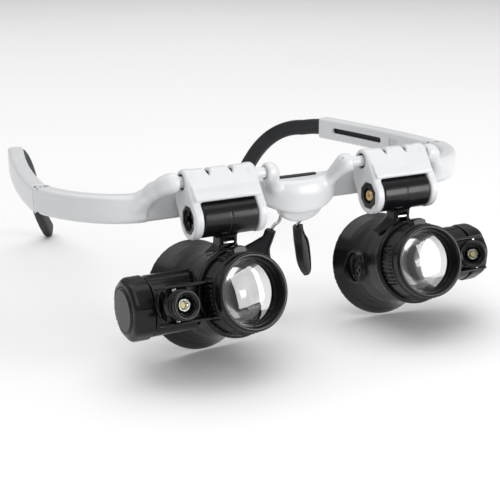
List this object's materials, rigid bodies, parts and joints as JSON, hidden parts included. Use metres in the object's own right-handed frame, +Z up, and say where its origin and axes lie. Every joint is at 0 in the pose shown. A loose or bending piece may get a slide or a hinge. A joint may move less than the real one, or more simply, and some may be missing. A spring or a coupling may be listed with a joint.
{
  "type": "head visor magnifier",
  "caption": "Spectacle-frame magnifier with two flip-up lamp-lit loupes on hinged brackets, folding temples and sliding ear hooks.",
  "frame": {"origin": "middle of the bounding box's underside, on the surface that the magnifier stands on", "axes": "+X to the wearer's left, +Y backwards along the temples, +Z up"},
  "size_m": [0.1642, 0.1892, 0.062],
  "materials": {
    "white_plastic": "satin gloss",
    "black_plastic": "satin gloss",
    "rubber": "matte",
    "lens_glass": "polished",
    "steel": "bright",
    "brass": "bright",
    "lamp_epoxy": "clear gloss"
  },
  "bodies": {
    "frame": {"front_frame": "white_plastic", "nose_pad_carrier": "black_plastic", "left_nose_pad_wire": "steel", "left_nose_pad": "rubber", "left_pivot_pin": "white_plastic", "left_temple_screw": "steel", "right_nose_pad_wire": "steel", "right_nose_pad": "rubber", "right_pivot_pin": "white_plastic", "right_temple_screw": "steel"},
    "left_bushing": {"left_pivot_bushing": "black_plastic"},
    "left_bracket": {"left_lens_bracket": "white_plastic", "left_hinge_axle": "black_plastic", "left_axle_cap": "black_plastic", "left_axle_screw": "brass"},
    "left_loupe": {"left_tilt_arm": "black_plastic", "left_arm_pin": "steel", "left_eyecup": "black_plastic", "left_vent_plug": "black_plastic", "left_battery_tube": "black_plastic", "left_inner_cell": "steel", "left_outer_cell": "steel", "left_contact_spring": "steel", "left_upper_lamp_pivot": "steel", "left_lower_lamp_pivot": "steel"},
    "left_lens_cell": {"left_lens_ring": "black_plastic", "left_lens": "lens_glass", "left_lens_retainer": "black_plastic"},
    "left_cap": {"left_battery_cap": "black_plastic"},
    "left_lamp": {"left_lamp_head": "black_plastic", "left_lamp_bulb": "lamp_epoxy"},
    "left_temple": {"left_temple_sleeve": "white_plastic"},
    "left_hook": {"left_ear_hook": "rubber"},
    "right_bushing": {"right_pivot_bushing": "black_plastic"},
    "right_bracket": {"right_lens_bracket": "white_plastic", "right_hinge_axle": "black_plastic", "right_axle_cap": "black_plastic", "right_axle_screw": "brass"},
    "right_loupe": {"right_tilt_arm": "black_plastic", "right_arm_pin": "steel", "right_eyecup": "black_plastic", "right_vent_plug": "black_plastic", "right_battery_tube": "black_plastic", "right_inner_cell": "steel", "right_outer_cell": "steel", "right_contact_spring": "steel", "right_upper_lamp_pivot": "steel", "right_lower_lamp_pivot": "steel"},
    "right_lens_cell": {"right_lens_ring": "black_plastic", "right_lens": "lens_glass", "right_lens_retainer": "black_plastic"},
    "right_cap": {"right_battery_cap": "black_plastic"},
    "right_lamp": {"right_lamp_head": "black_plastic", "right_lamp_bulb": "lamp_epoxy"},
    "right_temple": {"right_temple_sleeve": "white_plastic"},
    "right_hook": {"right_ear_hook": "rubber"}
  },
  "joints": [
    {"name": "left_bracket_slide", "type": "slide", "parent": "frame", "child": "left_bushing", "axis": [-1, 0, 0], "range_m": [0, 0.0038]},
    {"name": "left_bracket_flip", "type": "hinge", "parent": "left_bushing", "child": "left_bracket", "pos_m": [0.033, -0.06605, 0.0583], "axis": [-1, 0, 0], "range_deg": [0, 100]},
    {"name": "left_loupe_tilt", "type": "hinge", "parent": "left_bracket", "child": "left_loupe", "pos_m": [0.033, -0.07075, 0.0473], "axis": [1, 0, 0], "range_deg": [-12, 18]},
    {"name": "left_lens_turn", "type": "hinge", "parent": "left_loupe", "child": "left_lens_cell", "pos_m": [0.03275, -0.09095, 0.0282], "axis": [0.0965, 0.9499, -0.2974], "range_deg": [0, 45]},
    {"name": "left_cap_twist", "type": "hinge", "parent": "left_loupe", "child": "left_cap", "pos_m": [0.0605, -0.07025, 0.0214], "axis": [1, 0, 0], "range_deg": [0, 30]},
    {"name": "left_lamp_swivel", "type": "hinge", "parent": "left_loupe", "child": "left_lamp", "pos_m": [0.0559, -0.08457, 0.02586], "axis": [0, 0.2974, 0.9548], "range_deg": [-2, 50]},
    {"name": "left_temple_fold", "type": "hinge", "parent": "frame", "child": "left_temple", "pos_m": [0.0785, -0.03115, 0.0473], "axis": [0, 0, 1], "range_deg": [0, 78]},
    {"name": "left_hook_slide", "type": "slide", "parent": "left_temple", "child": "left_hook", "axis": [-0.1959, 0.9806, 0], "range_m": [0, 0.012]},
    {"name": "right_bracket_slide", "type": "slide", "parent": "frame", "child": "right_bushing", "axis": [1, 0, 0], "range_m": [0, 0.0038]},
    {"name": "right_bracket_flip", "type": "hinge", "parent": "right_bushing", "child": "right_bracket", "pos_m": [-0.033, -0.06605, 0.0583], "axis": [-1, 0, 0], "range_deg": [0, 100]},
    {"name": "right_loupe_tilt", "type": "hinge", "parent": "right_bracket", "child": "right_loupe", "pos_m": [-0.033, -0.07075, 0.0473], "axis": [1, 0, 0], "range_deg": [-12, 18]},
    {"name": "right_lens_turn", "type": "hinge", "parent": "right_loupe", "child": "right_lens_cell", "pos_m": [-0.03275, -0.09095, 0.0282], "axis": [-0.0965, 0.9499, -0.2974], "range_deg": [0, 45]},
    {"name": "right_cap_twist", "type": "hinge", "parent": "right_loupe", "child": "right_cap", "pos_m": [-0.0605, -0.07025, 0.0214], "axis": [-1, 0, 0], "range_deg": [0, 30]},
    {"name": "right_lamp_swivel", "type": "hinge", "parent": "right_loupe", "child": "right_lamp", "pos_m": [-0.0559, -0.08457, 0.02586], "axis": [0, 0.2974, 0.9548], "range_deg": [-14, 36]},
    {"name": "right_temple_fold", "type": "hinge", "parent": "frame", "child": "right_temple", "pos_m": [-0.0785, -0.03115, 0.0473], "axis": [0, 0, -1], "range_deg": [0, 66]},
    {"name": "right_hook_slide", "type": "slide", "parent": "right_temple", "child": "right_hook", "axis": [0.1959, 0.9806, 0], "range_m": [0, 0.012]}
  ]
}
